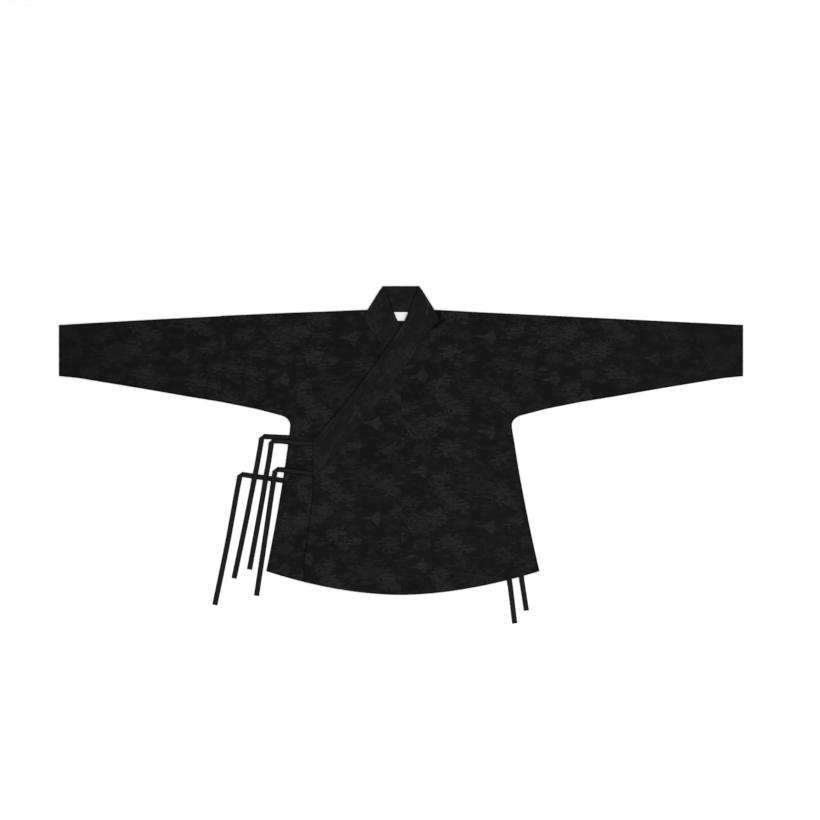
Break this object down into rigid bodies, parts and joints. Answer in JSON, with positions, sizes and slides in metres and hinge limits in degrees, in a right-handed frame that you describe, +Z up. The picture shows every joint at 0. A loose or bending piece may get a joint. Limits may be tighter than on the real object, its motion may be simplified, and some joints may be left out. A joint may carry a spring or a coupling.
{
  "type": "hanfu inner top",
  "caption": "Cross-collar hanfu inner top laid flat, long straight sleeves, band collar, left front lapped over right, narrow side ties, blank neck label.",
  "frame": {"origin": "middle of the outline in plan, on the surface that the back lies on", "axes": "+X towards the wearer's left cuff, +Y towards the collar, +Z up out of the front"},
  "size_m": [1.6002, 0.7907, 0.0066],
  "materials": {
    "jacquard": "black self-patterned jacquard satin, soft low sheen",
    "collar_cloth": "the same black jacquard, folded double and pressed",
    "tie_cloth": "black twill strip, low sheen",
    "label": "plain white woven tape"
  },
  "bodies": {
    "root": {"body_left": "jacquard", "body_right": "jacquard", "overlap_left": "jacquard", "overlap_right": "jacquard", "sleeve_left": "jacquard", "sleeve_right": "jacquard", "collar": "collar_cloth", "tie_right_side_upper": "tie_cloth", "tie_right_side_lower": "tie_cloth", "tie_left_lap_upper": "tie_cloth", "tie_left_lap_lower": "tie_cloth", "tie_right_lap_inner": "tie_cloth", "tie_left_side_inner": "tie_cloth", "neck_label": "label"}
  },
  "joints": []
}
